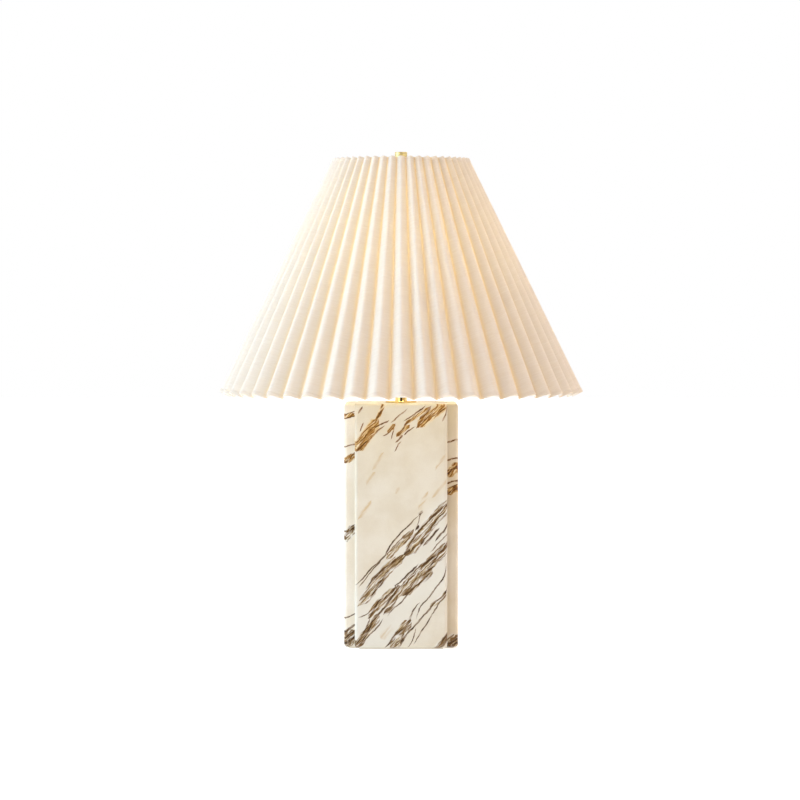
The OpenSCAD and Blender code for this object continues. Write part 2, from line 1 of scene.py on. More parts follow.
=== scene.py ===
# %% [markdown]
# # Dressing a marble table lamp
# The lamp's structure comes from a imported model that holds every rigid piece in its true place.
# This lesson gives those pieces their finishes, replaces the two soft ones (the pleated shade and
# the felt under the base) with detailed cloth, and lights the lamp as a small studio would.

# %% Load the frame
import math
import random

import bpy
import numpy as np
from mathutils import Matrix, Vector


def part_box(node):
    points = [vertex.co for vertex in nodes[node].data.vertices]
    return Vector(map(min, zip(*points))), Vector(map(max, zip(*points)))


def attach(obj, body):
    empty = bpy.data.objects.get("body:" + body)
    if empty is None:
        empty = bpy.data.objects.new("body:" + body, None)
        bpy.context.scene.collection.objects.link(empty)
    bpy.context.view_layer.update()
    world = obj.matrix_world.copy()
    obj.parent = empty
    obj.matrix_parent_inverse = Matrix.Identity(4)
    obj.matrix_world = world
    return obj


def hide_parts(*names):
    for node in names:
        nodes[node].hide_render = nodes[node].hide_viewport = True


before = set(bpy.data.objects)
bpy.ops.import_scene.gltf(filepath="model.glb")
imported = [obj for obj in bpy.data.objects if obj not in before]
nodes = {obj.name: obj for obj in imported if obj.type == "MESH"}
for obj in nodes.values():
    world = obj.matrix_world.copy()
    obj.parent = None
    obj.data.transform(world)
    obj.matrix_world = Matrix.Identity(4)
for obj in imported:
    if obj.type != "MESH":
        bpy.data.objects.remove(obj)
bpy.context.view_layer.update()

# %% [markdown]
# ## Units and colours
# Blender works in metres and in linear light. Sizes are easier to think about in millimetres, and
# colours are easier to pick as the hex values that a screen shows, so both are converted in one
# place and never by hand.

# %% Units and colours
MM = 0.001


def linear(hex_code):
    """A screen colour such as "#f2ece0" as the linear RGBA that Blender's sockets take."""
    screen = [int(hex_code[i:i + 2], 16) / 255 for i in (1, 3, 5)]
    return tuple(c / 12.92 if c <= 0.04045 else ((c + 0.055) / 1.055) ** 2.4
                 for c in screen) + (1.0,)


print("mid grey is", round(linear("#808080")[0], 3), "in linear light")

# %% [markdown]
# ## The camera
# The photograph was taken from a little above the top of the column with a long lens: the floor
# line and the shade's rims are almost straight. A long lens far away gives that flat look, and
# aiming the camera a little down is simpler than shifting the lens.

# %% The camera
CAMERA_AT = Vector((0, -4.410, 0.424))
CAMERA_AIM = Vector((-0.0013, 0, 0.308))
LENS, SENSOR = 157.5, 36


def in_scene(name, data):
    """A new object that holds the data, put into the scene."""
    made = bpy.data.objects.new(name, data)
    bpy.context.scene.collection.objects.link(made)
    return made


def turned_to(at, aim):
    """The rotation of a camera or light at one point that looks at another."""
    return (Vector(aim) - Vector(at)).to_track_quat("-Z", "Y").to_euler()


camera = in_scene("camera", bpy.data.cameras.new("camera"))
camera.data.lens, camera.data.sensor_width = LENS, SENSOR
camera.location, camera.rotation_euler = CAMERA_AT, turned_to(CAMERA_AT, CAMERA_AIM)
bpy.context.scene.camera = camera
bpy.context.scene.view_settings.view_transform = "Standard"
print("camera is", round((CAMERA_AIM - CAMERA_AT).length, 2), "m from the lamp")

# %% [markdown]
# ## Building node trees
# A material is a small graph. Writing it node by node is long, so one function adds any node with
# its settings and its inputs: an input is either a plain value or another node's output, which is
# then linked. A second function starts a material and hands over its main shader. Colours are
# built up in coats, as a painter glazes: each coat shows only where all its measures let it.


# %% Node helpers
def add(tree, kind, inputs=None, give=0, **settings):
    """Adds one node, sets it up, fills or links its inputs, and gives one of its outputs."""
    node = tree.nodes.new(kind)
    for name, value in settings.items():
        setattr(node, name, value)
    for key, value in (inputs or {}).items():
        if isinstance(value, bpy.types.NodeSocket):
            tree.links.new(value, node.inputs[key])
        else:
            node.inputs[key].default_value = value
    return node.outputs if give == "all" else node.outputs[give]


def new_material(name, **shader_inputs):
    """A material with one Principled shader. Underscores in the input names stand for spaces."""
    made = bpy.data.materials.new(name)
    made.use_nodes = True
    shader = made.node_tree.nodes["Principled BSDF"]
    for key, value in shader_inputs.items():
        shader.inputs[key.replace("_", " ")].default_value = value
    return made, made.node_tree, shader


def dress(made, *node_names):
    """Gives the material to CAD nodes, in every material slot that they have."""
    for name in node_names:
        slots = nodes[name].data.materials
        if not slots:
            slots.append(made)
        for i in range(len(slots)):
            slots[i] = made
    print(made.name, "is on", ", ".join(node_names))


def shown(tree, *measures, amount=None):
    """How much shows where all the measures let it. Each is a value, where it starts to show,
    where it shows in full, and how much at most. Their product is taken times the amount."""
    for value, start, full, most in measures:
        share = add(tree, "ShaderNodeMapRange", {
            "Value": value, "From Min": start, "From Max": full, "To Max": most},
            interpolation_type="SMOOTHSTEP")
        amount = share if amount is None else add(
            tree, "ShaderNodeMath", {0: amount, 1: share}, operation="MULTIPLY")
    return amount


def coat(tree, under, over, *measures, amount=None):
    """One colour laid over another as far as it is shown. Each is a hex value or an output."""
    # The Mix node has sockets for each type of value: 6 and 7 take colours, and 2 gives one
    under, over = (linear(c) if isinstance(c, str) else c for c in (under, over))
    return add(tree, "ShaderNodeMix", {
        "Factor": shown(tree, *measures, amount=amount), 6: under, 7: over},
        give=2, data_type="RGBA")


print("node helpers are ready")

# %% [markdown]
# ## Where the veins run
# The front slab has bands of veins that rise to the right at about 48 degrees, and three tufts
# near the top. Each row below is one vein: its half-width, then the x and z of the places it
# passes, all in millimetres on the face. Fills are the broad tan parts of a band, lines the
# fine dark seams that edge and cross them, tufts the ochre veins near the top, and ghosts the
# pale tan streaks in the clear marble. The places were measured, and no picture is read.

# %% The veins
CLOUD_FILLS = [
    (5.2, 67, 188, 55, 176, 39, 160, 24, 140, 9, 121, 3, 115),
    (2.8, 17, 150, 4, 136, -11, 121, -20, 110),
    (4.6, 5, 119, -12, 104, -21, 94, -28, 86, -31, 84, -37, 72, -46, 62, -54, 54),
    (5.0, 67, 134, 51, 121, 41, 111, 29, 100, 22, 95, 11, 85, -1, 77),
    (6.0, 39, 104, 24, 90, 10, 79, -1, 67), (3.0, 9, 83, -1, 73, -6, 68, -14, 54, -22, 43),
    (3.2, -5, 78, -16, 68, -28, 56, -41, 38), (3.6, -26, 46, -37, 29, -46, 17, -59, -3),
    (2.4, 56, 72, 48, 62, 36, 53), (4.6, 13, 37, 1, 22, -6, 10, -12, -5),
    (3.0, 62, 20, 51, 7, 41, -4),
]
CLOUD_LINES = [
    (0.9, 24, 169, 16, 161, -4, 140, -16, 125, -21, 116, -37, 100, -50, 86, -57, 78),
    (0.7, -21, 114, -33, 101, -44, 88, -53, 77), (0.6, 24, 170, 22, 161, 20, 150),
    (1.5, 26, 172, 22, 167), (1.6, 22, 154, 19, 149),
    (1.4, 67, 189, 57, 180, 46, 172, 36, 162, 32, 158),
    (0.8, 34, 160, 26, 152, 16, 139, 10, 129, 4, 117),
    (0.8, 48, 165, 41, 157, 35, 147, 29, 137, 23, 129), (1.6, 29, 139, 24, 130),
    (1.4, 48, 151, 39, 141, 31, 132, 27, 128), (1.2, 61, 158, 52, 145, 48, 141, 42, 134),
    (0.6, 61, 145, 47, 132, 37, 120), (1.4, 67, 135, 56, 126, 43, 117, 36, 111, 24, 103, 19, 99),
    (1.0, 22, 106, 16, 100, 9, 94, -1, 84, -9, 79), (1.2, 46, 116, 39, 106, 32, 95, 24, 86),
    (0.8, 43, 104, 36, 99, 30, 93), (1.3, -5, 113, -15, 104, -23, 98, -30, 90, -37, 83),
    (0.8, 10, 121, -1, 110, -12, 100, -20, 89, -26, 79, -31, 75, -37, 65), (2.0, 11, 125, 4, 117),
    (0.8, -27, 95, -35, 86, -44, 75), (1.0, -15, 100, -23, 86, -31, 75, -37, 65),
    (1.2, -5, 82, -10, 74, -16, 68, -28, 59, -32, 52, -40, 39),
    (0.9, 39, 99, 27, 85, 16, 77, 9, 70, 0, 59, -9, 51, -17, 41),
    (1.3, -2, 79, -9, 70, -17, 58, -25, 47, -35, 36, -41, 23, -56, -1), (2.0, -2, 80, -6, 75),
    (0.9, -4, 69, -9, 58, -16, 49, -22, 44), (0.7, -35, 50, -44, 43, -53, 39),
    (0.8, -22, 38, -30, 27, -40, 17, -53, 1), (0.9, -38, 41, -44, 26, -52, 12, -58, 1),
    (0.8, 58, 108, 55, 96, 52, 89, 41, 74, 32, 62, 25, 54, 21, 44, 19, 37),
    (1.0, 24, 59, 16, 49, 13, 42, 9, 33, 3, 26, -9, 15, -21, -3), (1.7, 12, 37, 6, 29),
    (1.0, 60, 82, 53, 67, 41, 58, 35, 49, 27, 41, 21, 34, 15, 27, 9, 21, 3, 12, -4, -3),
    (1.7, 56, 73, 52, 64), (0.8, 52, 65, 47, 57, 41, 47, 35, 37, 27, 25, 21, 16, 15, 5),
    (0.6, 19, 27, 14, 12, 8, 1), (1.8, 4, 21, 1, 12, -1, 6), (1.2, 60, 21, 51, 10, 42, -1),
    (1.2, 62, 16, 53, 7, 46, -3),
]
TUFT_FILLS = [
    (5.6, -57, 246, -47, 259, -40, 269, -32, 281, -28, 287),
    (4.6, 19, 275, 34, 288, 41, 293, 51, 301, 61, 308), (2.2, -17, 270, -7, 281),
    (2.2, -6, 265, 4, 274, 10, 279), (1.8, 4, 280, 24, 293, 35, 301),
    (1.8, -35, 277, -27, 292, -20, 306),
]
TUFT_LINES = [
    (1.0, -56, 245, -42, 259, -31, 270, -20, 279), (0.9, -52, 253, -43, 266, -36, 275),
    (0.9, -34, 279, -27, 292, -21, 306), (0.9, -38, 275, -27, 279, -14, 285),
    (1.0, -53, 293, -47, 301), (0.8, -13, 282, -2, 291, 8, 300), (1.7, -17, 270, -7, 281),
    (0.7, -22, 266, -12, 272), (0.6, -9, 279, -10, 270, -13, 262), (0.8, 3, 284, 16, 292, 31, 303),
    (1.0, 3, 277, 10, 284, 16, 288), (1.5, -5, 266, 4, 276), (1.1, -7, 257, 2, 267),
    (0.7, -8, 246, -4, 253, 0, 259), (1.8, 22, 285, 29, 291, 37, 302),
    (1.4, 18, 274, 27, 283, 36, 290, 43, 295), (1.0, 37, 288, 46, 293, 56, 301),
    (1.0, 51, 283, 55, 291, 58, 302), (0.7, 3, 266, 8, 271, 17, 277), (0.8, -51, 270, -46, 282),
]
GHOSTS = [
    (3, -43, 205, -32, 221), (2, -7, 193, -2, 201), (3, 21, 172, 33, 196),
    (2.5, -36, 223, -21, 245), (2.5, 43, 223, 56, 242), (3, -53, 161, -36, 186),
    (2, 38, 188, 58, 211), (5, -26, 12, -11, 31),
]
# The narrow flanks left and right of the front slab belong to the side slabs.
FLANK_CLOUDS = [
    (4, -73, 133, -56, 152), (6.5, -73, 2, -56, 22), (6, 56, 0, 73, 15),
]
FLANK_THREADS = [
    (1.4, -73, 136, -56, 152), (0.9, -73, 142, -56, 155), (0.8, -73, 35, -56, 44),
    (1.3, -73, 17, -56, 31), (1.5, -73, 3, -56, 16), (1, -73, 9, -56, 24), (2, 56, 4, 73, 15),
    (1.5, 56, -2, 73, 10),
]
FLANK_TUFTS = [
    (2.8, -71, 288, -58, 293), (3.5, -71, 232, -58, 242), (4.5, 56, 214, 73, 231),
    (3.5, 56, 192, 73, 203),
]
FLANK_LINES = [
    (1, -73, 286, -56, 290), (0.8, -73, 291, -56, 296), (0.8, -73, 250, -56, 256),
    (1.2, -73, 228, -56, 246), (1.3, 56, 256, 73, 261), (1.3, 56, 234, 73, 239),
    (1.4, 56, 216, 73, 230), (1.2, 56, 205, 73, 211), (0.9, 56, 222, 73, 225),
    (1.6, 56, 193, 73, 201), (0.8, 56, 198, 73, 206),
]
print(len(CLOUD_FILLS) + len(TUFT_FILLS), "fills and", len(CLOUD_LINES) + len(TUFT_LINES), "lines")

# %% [markdown]
# ## Honed white marble
# The column is white marble, sawn into slabs, eased at the edges and honed: a soft sheen with no
# mirror image in it. A picture of marble would not turn a corner, so the pattern is built in
# three dimensions. Each slab maps its own space onto the face with the veins, with a seed of its
# own, because slabs from one block match but never repeat. One RGB Curves node holds one vein:
# its red curve says where the vein lies and its green curve how wide it is. Two noises bend the
# veins, and two more, stretched 10 and 12 to 1 along them, tear them into flecks and streaks.

# %% The marble recipe
VEIN_RISE = math.radians(48)
# The curves cover 380 mm along the veins and across, from 90 mm before the foot of the face
SPAN, SPAN_START = 380.0, 90.0
# A vein's width ends just above nothing, because below nothing it would cover everything
THIN = 1e-6
# A vein has its full width from 14 to 86 parts of 100 of its length
TAPER = 0.14
# An edge fades out, so a vein is drawn wider than it was measured
TUFT_SPREAD, CLOUD_SPREAD, LINE_SPREAD, GHOST_SPREAD = 1.8, 2.1, 1.65, 1.5
# Halo, pale fill, deeper fill, dark flecks, seam, and the seam's core
TUFT_TONES = "#e0cc9e", "#c8a463", "#b68d45", "#8f5c18", "#855414", "#4a2a02"
CLOUD_TONES = "#dcd9d0", "#b8a67f", "#aca28c", "#8a6b38", "#6d4a16", "#2a1600"


def veins(tree, along, aside, rows, spread):
    """How much the veins cover the point. Each vein is a curve: its place across the veins, and
    its half-width, for every place along them. Both are in shares of SPAN."""
    most = None
    for half_width, *places in rows:
        curves = add(tree, "ShaderNodeRGBCurve", {"Color": along})
        mapping = curves.node.mapping
        mapping.extend = "HORIZONTAL"
        x, z = np.array(places[::2]), np.array(places[1::2])
        shares = (x * math.cos(VEIN_RISE) + z * math.sin(VEIN_RISE) + SPAN_START) / SPAN
        offsets = (z * math.cos(VEIN_RISE) - x * math.sin(VEIN_RISE) + SPAN_START) / SPAN
        order = np.argsort(shares)
        shares, offsets = shares[order], offsets[order]
        lane, width = mapping.curves[0], mapping.curves[1]
        first, last, full = shares[0], shares[-1], half_width * spread / SPAN
        widths = [(first, THIN), ((1 - TAPER) * first + TAPER * last, full),
                  (TAPER * first + (1 - TAPER) * last, full), (last, THIN)]
        for drawn, through in ((lane, list(zip(shares, offsets))), (width, widths)):
            drawn.points[0].location, drawn.points[1].location = through[0], through[-1]
            for place in through[1:-1]:
                drawn.points.new(*place)
        for point in width.points:
            point.handle_type = "VECTOR"
        mapping.update()
        found = add(tree, "ShaderNodeSeparateColor", {0: curves}, give="all")
        off = add(tree, "ShaderNodeMath", {0: aside, 1: found["Red"]}, operation="SUBTRACT")
        off = add(tree, "ShaderNodeMath", {0: off}, operation="ABSOLUTE")
        cover = shown(tree, (off, found["Green"], 0.0, 1))
        most = cover if most is None else add(
            tree, "ShaderNodeMath", {0: most, 1: cover}, operation="MAXIMUM")
    return most


def drawn_out(tree, point, lean, long_mm, wide_mm, detail=3.0, roughness=0.55):
    """Noise drawn out along the veins: long_mm along them, wide_mm across and three times that
    into the stone. It leans away from them by some degrees."""
    turned = add(tree, "ShaderNodeVectorRotate", {
        "Vector": point, "Angle": VEIN_RISE + math.radians(lean)}, rotation_type="Y_AXIS")
    scaled = add(tree, "ShaderNodeVectorMath", {0: turned, 1: (
        1 / long_mm, 1 / (3 * wide_mm), 1 / wide_mm)}, operation="MULTIPLY")
    return add(tree, "ShaderNodeTexNoise", {
        "Vector": scaled, "Scale": 1.0, "Detail": detail, "Roughness": roughness})


def marble(name, across, up, deep, start, seed, tufts, tuft_lines, clouds, cloud_lines, ghosts,
           body_hex="#d8d1bf", drift_hex="#d0c6b0", whiter_low=0.0):
    """Marble whose face lies along the vectors across and up, with start as an offset in mm."""
    made, tree, shader = new_material(name, Specular_IOR_Level=0.3)
    place = add(tree, "ShaderNodeTexCoord", give="Object")
    in_mm = add(tree, "ShaderNodeVectorMath", {0: place, "Scale": 1 / MM}, operation="SCALE")
    parts = []
    for way, offset in zip((across, deep, up), start):
        part = add(tree, "ShaderNodeVectorMath", {0: in_mm, 1: way},
                   operation="DOT_PRODUCT", give="Value")
        parts.append(add(tree, "ShaderNodeMath", {0: part, 1: offset}, operation="ADD"))
    face = add(tree, "ShaderNodeCombineXYZ", dict(enumerate(parts)))
    own_place = (seed, 2 * seed, 3 * seed)
    seeded = add(tree, "ShaderNodeVectorMath", {0: face, 1: own_place}, operation="ADD")

    # Bends: about 0.8 mm to each side over 42 mm of stone, and 0.6 mm over 7 mm
    bent = face
    for size_mm, strength_mm, detail in ((42, 4, 2), (7, 3, 4)):
        wander = add(tree, "ShaderNodeTexNoise", {
            "Vector": seeded, "Scale": 1 / size_mm, "Detail": detail}, give="Color")
        centred = add(tree, "ShaderNodeVectorMath", {0: wander, 1: (0.5, 0.5, 0.5)},
                      operation="SUBTRACT")
        bent = add(tree, "ShaderNodeVectorMath", {0: centred, 1: (strength_mm,) * 3, 2: bent},
                   operation="MULTIPLY_ADD")

    # The place along the veins and across them, in shares of SPAN
    flat = add(tree, "ShaderNodeVectorMath", {0: bent, 1: (1, 0, 1)}, operation="MULTIPLY")
    with_veins = add(tree, "ShaderNodeSeparateXYZ", {0: add(
        tree, "ShaderNodeVectorRotate", {"Vector": flat, "Angle": VEIN_RISE},
        rotation_type="Y_AXIS")}, give="all")
    along, aside = [add(tree, "ShaderNodeMath", {
        0: with_veins[axis], 1: 1 / SPAN, 2: SPAN_START / SPAN},
        operation="MULTIPLY_ADD") for axis in "XZ"]

    # Noises of the stone: streaks and flecks bend with the veins, grain and haze don't
    stone = add(tree, "ShaderNodeVectorMath", {0: bent, 1: own_place}, operation="ADD")
    streak = drawn_out(tree, stone, 0, 50, 4.2)
    fleck = drawn_out(tree, stone, -3, 22, 2.1, roughness=0.6)
    grain = add(tree, "ShaderNodeTexNoise", {"Vector": seeded, "Scale": 1 / 1.8, "Detail": 2.0})
    haze = add(tree, "ShaderNodeTexNoise", {
        "Vector": seeded, "Scale": 1 / 48, "Detail": 4.0, "Roughness": 0.55})

    # Two families of fine parallel lines that sway, and lean apart by 7 degrees
    fibres = None
    for lean, spacing_mm, sway_mm in ((-3, 5.8, 17), (4, 4.7, 13)):
        turned = add(tree, "ShaderNodeVectorRotate", {
            "Vector": stone, "Angle": VEIN_RISE + math.radians(lean)}, rotation_type="Y_AXIS")
        level = add(tree, "ShaderNodeSeparateXYZ", {0: turned}, give="Z")
        sway = drawn_out(tree, stone, lean, 55, 14, 2.0, 0.5)
        swayed = add(tree, "ShaderNodeMath", {0: sway, 1: sway_mm, 2: level},
                     operation="MULTIPLY_ADD")
        counted = add(tree, "ShaderNodeMath", {0: swayed, 1: 1 / spacing_mm}, operation="MULTIPLY")
        from_line = add(tree, "ShaderNodeMath", {0: counted, 1: 0.5}, operation="PINGPONG")
        fibre = shown(tree, (from_line, 0.24, 0.07, 1))
        fibres = fibre if fibres is None else add(
            tree, "ShaderNodeMath", {0: fibres, 1: fibre}, operation="MAXIMUM")

    # Body: warm white with slow cream drifts, and a fine crystal grain
    colour = coat(tree, body_hex, drift_hex, (haze, 0.34, 0.66, 1))
    colour = coat(tree, colour, "#b9af9b", (grain, 0.3, 0.75, 0.1))
    if whiter_low:
        # The stone between the bands is whiter and cooler than the clear part above
        low_from, low_to, high_to, high_from = [
            (SPAN_START + edge_mm) / SPAN for edge_mm in (-5, 22, 80, 98)]
        colour = coat(tree, colour, "#d8d7cc", (aside, high_from, high_to, whiter_low),
                      (aside, low_from, low_to, 1))
    if ghosts:
        ghost = veins(tree, along, aside, ghosts, GHOST_SPREAD)
        colour = coat(tree, colour, "#bd9a5c", (ghost, 0.0, 1.2, 0.7), (streak, 0.34, 0.62, 1))

    # Each group of veins: a pale halo, a streaked tan fill with the white body between its
    # streaks, darker flecks and fine lines, and brown seams whose darker core comes and goes
    for fills, lines, spread, (halo, pale, deeper, dark, seam, core) in (
            (tufts, tuft_lines, TUFT_SPREAD, TUFT_TONES),
            (clouds, cloud_lines, CLOUD_SPREAD, CLOUD_TONES)):
        if fills:
            cover = veins(tree, along, aside, fills, spread)
            colour = coat(tree, colour, halo, (cover, 0.0, 0.3, 0.6))
            fill = coat(tree, pale, deeper, (streak, 0.44, 0.58, 1))
            colour = coat(tree, colour, fill, (cover, 0.15, 0.45, 0.9), (fleck, 0.38, 0.5, 1))
            colour = coat(tree, colour, dark, (cover, 0.2, 0.6, 0.75), (fleck, 0.5, 0.57, 1))
            colour = coat(tree, colour, seam, (cover, 0.1, 0.4, 1), (fleck, 0.4, 0.5, 0.85),
                          amount=fibres)
            colour = coat(tree, colour, core, (cover, 0.25, 0.6, 1), (fleck, 0.58, 0.63, 0.85))
        if lines:
            line = veins(tree, along, aside, lines, LINE_SPREAD)
            colour = coat(tree, colour, seam, (line, 0.0, 0.6, 0.85), (fleck, 0.2, 0.5, 1))
            colour = coat(tree, colour, core, (line, 0.45, 0.9, 0.9), (fleck, 0.42, 0.56, 1))
    tree.links.new(colour, shader.inputs["Base Color"])

    # Honing leaves a faint unevenness, and the soft vein mineral takes less of the polish
    worn = add(tree, "ShaderNodeMapRange", {
        "Value": streak, "From Min": 0.3, "From Max": 0.7, "To Min": 0.3, "To Max": 0.42})
    tree.links.new(worn, shader.inputs["Roughness"])
    relief = add(tree, "ShaderNodeBump", {
        "Height": grain, "Strength": 0.06, "Distance": 0.3 * MM})
    tree.links.new(relief, shader.inputs["Normal"])
    return made


print("the marble recipe is ready")

# %% [markdown]
# ## Five cuts from one block
# The front slab shows the pattern as it stands. The side slabs start from their own front flanks
# and carry the pattern round the corner. The back slab is turned upside down, as a mason would
# turn it to keep the joints from matching. A small shear with depth makes the veins slant through
# the stone, so the top face and the eased edges are not smeared.

# %% Marble on the column
HALF_SLAB, HALF_COLUMN, TOP = 57.5, 71, 305
SLANT_X, SLANT_Z = 0.35, -0.5
# A side slab shows the front's veins up to here, and beyond it only those of its own flank
OWN_FLANK = 54
WHOLE = TUFT_FILLS, TUFT_LINES, CLOUD_FILLS, CLOUD_LINES, GHOSTS
dress(marble("marble_front_honed", (1, SLANT_X, 0), (0, SLANT_Z, 1), (0, 1, 0),
             (SLANT_X * HALF_COLUMN, HALF_COLUMN, SLANT_Z * HALF_COLUMN), 0.0, *WHOLE,
             whiter_low=0.5), "front_slab")
dress(marble("marble_back_honed", (1, SLANT_X, 0), (0, -SLANT_Z, -1), (0, 1, 0),
             (-SLANT_X * HALF_COLUMN, HALF_COLUMN, TOP + SLANT_Z * HALF_COLUMN), 61.0, *WHOLE,
             whiter_low=0.5), "back_slab")


def own_side(rows, side):
    """The flank veins of one side: -1 is left and 1 is right."""
    return [row for row in rows if row[1] * side > 0]


def cut_short(rows, side, lift):
    """The front's veins, lifted by some mm, without the places near the slab's own flank."""
    kept_rows = []
    for half_width, *places in rows:
        kept = [(x, z + lift) for x, z in zip(places[::2], places[1::2]) if x * side < OWN_FLANK]
        if len(kept) > 1:
            kept_rows.append([half_width] + [value for place in kept for value in place])
    return kept_rows


# The side slabs' body colours are painted light and shade: the left slab is lighter, as if lit,
# and the right slab darker and warmer, as painted shade
for side, name, seed, lift, lit_and_shaded_tones in (
        (-1, "left", 23.0, -8, ("#ece5d6", "#e2d8c4")),
        (1, "right", 37.0, 52, ("#d6cab4", "#cdbd9f"))):
    dress(marble("marble_" + name + "_honed", (1, -side, 0), (0, 0, 1), (1, 0, 0),
                 (-side * HALF_SLAB, -side * HALF_COLUMN, 0), seed,
                 cut_short(TUFT_FILLS, side, -lift) + own_side(FLANK_TUFTS, side),
                 cut_short(TUFT_LINES[:9], side, -lift) + own_side(FLANK_LINES, side),
                 cut_short(CLOUD_FILLS, side, lift) + own_side(FLANK_CLOUDS, side),
                 cut_short(CLOUD_LINES, side, lift) + own_side(FLANK_THREADS, side), GHOSTS[:4],
                 *lit_and_shaded_tones), name + "_slab")
dress(marble("marble_core_honed", (1, 0.5, 0), (0, 0, 1), (0, 1, 0),
             (0, 0, 0), 83.0, TUFT_FILLS, (), (), (), GHOSTS), "marble_core")

# %% [markdown]
# ## Metals
# The disc and the neck are solid brass, polished and lacquered: a sharp but warm reflection,
# broken by faint wiping marks. The finial is turned and left satin. The harp, saddle and socket
# are spun or bent brass with a duller brushed look. Clamp parts are zinc-plated steel, which is
# grey, a little blue and clearly rougher. Metals keep Blender's own index of refraction, so only
# the colour, the roughness and a fine relief are set.


# %% Metals
def metal(name, hex_code, dull_hex, smooth, rough, mark_mm, relief_mm, stretch=(1, 1, 1)):
    """A metal whose roughness varies over marks of a given size, and its colour over patches
    12 times as large."""
    made, tree, shader = new_material(name, Metallic=1.0)
    place = add(tree, "ShaderNodeTexCoord", give="Object")
    scaled = add(tree, "ShaderNodeVectorMath", {0: place, 1: stretch}, operation="MULTIPLY")
    marks = add(tree, "ShaderNodeTexNoise", {
        "Vector": scaled, "Scale": 1 / (mark_mm * MM), "Detail": 4.0, "Roughness": 0.6})
    drift = add(tree, "ShaderNodeTexNoise", {
        "Vector": place, "Scale": 1 / (12 * mark_mm * MM), "Detail": 2.0})
    tree.links.new(coat(tree, hex_code, dull_hex, amount=drift), shader.inputs["Base Color"])
    sheen = add(tree, "ShaderNodeMapRange", {
        "Value": marks, "From Min": 0.3, "From Max": 0.7, "To Min": smooth, "To Max": rough})
    tree.links.new(sheen, shader.inputs["Roughness"])
    relief = add(tree, "ShaderNodeBump", {
        "Height": marks, "Strength": 0.25, "Distance": relief_mm * MM})
    tree.links.new(relief, shader.inputs["Normal"])
    return made


dress(metal("brass_polished", "#ecd08a", "#ddb968", 0.025, 0.06, 1.5, 0.004),
      "top_disc", "neck_tube")
# The finial is turned and left satin: it shows one even pale gold and no line
dress(metal("brass_satin_turned", "#ddd09c", "#cfbf80", 0.42, 0.55, 1.0, 0.01, (0.125, 0.125, 1)),
      "finial_knob", "harp_stud")
# Brushed round the axis: the marks are 8 times longer around than up
dress(metal("brass_spun", "#dcb978", "#c9a062", 0.2, 0.32, 1.2, 0.008, (0.125, 0.125, 1)),
      "socket_cap", "socket_shell", "left_sleeve", "right_sleeve", "switch_shaft")
# Drawn wire and bent strip: the marks are 5 times longer up the piece than across it
dress(metal("brass_drawn", "#d3ae70", "#bf9657", 0.24, 0.36, 1.0, 0.008, (1, 1, 0.2)),
      "harp_saddle", "harp_bow", "screw_shell", "centre_contact", "terminal_screws")
# Zinc plating shows soft grey patches and no direction
dress(metal("steel_zinc_plated", "#c6cacd", "#aeb4ba", 0.26, 0.44, 0.9, 0.04),
      "bottom_plate", "bottom_washer", "lock_washer", "bottom_nut", "threaded_pipe",
      "saddle_nut", "cap_set_screw", "spider_spokes", "spider_washer")
# Rolled and nickel-plated: a smooth shine between silver and champagne
dress(metal("nickel_plated_cap", "#d3cec4", "#bdb7ab", 0.16, 0.3, 1.1, 0.03, (0.2, 0.2, 1)),
      "bulb_cap", "bulb_contact")

# %% [markdown]
# ## Moulded, pressed and coated pieces
# The small non-metal pieces are told apart by their surface more than by their colour: rubber is
# matt and slightly pitted, phenolic is hard and glossy, fibre board shows its fibres, powder coat
# has the shallow dimples of orange peel, the bulb's housing is a plain satin white, and fused
# glass is black and has almost nothing to see in it. One recipe covers them: two colours mixed
# by a noise of the right size, with a relief of the right depth.


# %% Moulded, pressed and coated pieces
def grained(tree, shader, place, scale, hex_code, second_hex, strength, depth_mm, **noise):
    """Gives a surface a grain in two colours and the relief of that grain, and returns both."""
    grain = add(tree, "ShaderNodeTexNoise", {"Vector": place, "Scale": scale, **noise})
    tint = coat(tree, hex_code, second_hex, amount=grain)
    relief = add(tree, "ShaderNodeBump", {
        "Height": grain, "Strength": strength, "Distance": depth_mm * MM})
    tree.links.new(tint, shader.inputs["Base Color"])
    tree.links.new(relief, shader.inputs["Normal"])
    return tint, relief


def moulded(name, hex_code, second_hex, rough, ior, grain_mm, relief_mm, stretch=(1, 1, 1)):
    """A plastic-like solid with a grain and relief of the given size."""
    made, tree, shader = new_material(name, Roughness=rough, IOR=ior)
    place = add(tree, "ShaderNodeTexCoord", give="Object")
    scaled = add(tree, "ShaderNodeVectorMath", {0: place, 1: stretch}, operation="MULTIPLY")
    grained(tree, shader, scaled, 1 / (grain_mm * MM), hex_code, second_hex, 0.4, relief_mm,
            Detail=3.0)
    return made


dress(moulded("rubber_moulded", "#191918", "#262523", 0.72, 1.52, 0.8, 0.08), "cord_grommet")
dress(moulded("phenolic_moulded", "#14110e", "#241c15", 0.3, 1.6, 1.5, 0.02),
      "socket_body", "switch_knob")
dress(moulded("fibre_board_rolled", "#8f6e47", "#6f5234", 0.8, 1.5, 0.7, 0.1, (1, 1, 0.15)),
      "insulating_liner")
dress(moulded("steel_powder_coated", "#f2eee4", "#e6e0d2", 0.42, 1.5, 1.6, 0.08),
      "top_ring", "bottom_ring")
dress(moulded("bulb_housing_moulded", "#f4f3ee", "#ebe9e2", 0.38, 1.5, 1.2, 0.04),
      "bulb_body")
dress(moulded("black_glass_fused", "#08080a", "#15151a", 0.08, 1.52, 2.0, 0.01),
      "bulb_insulator")

# %% [markdown]
# ## The circuit board in the bulb
# The board is an aluminium disc, lacquered white, with eight square chips. The chips are covered
# with a yellow phosphor gel. They stand above the lacquer, so the height alone tells the shader
# where the phosphor starts.

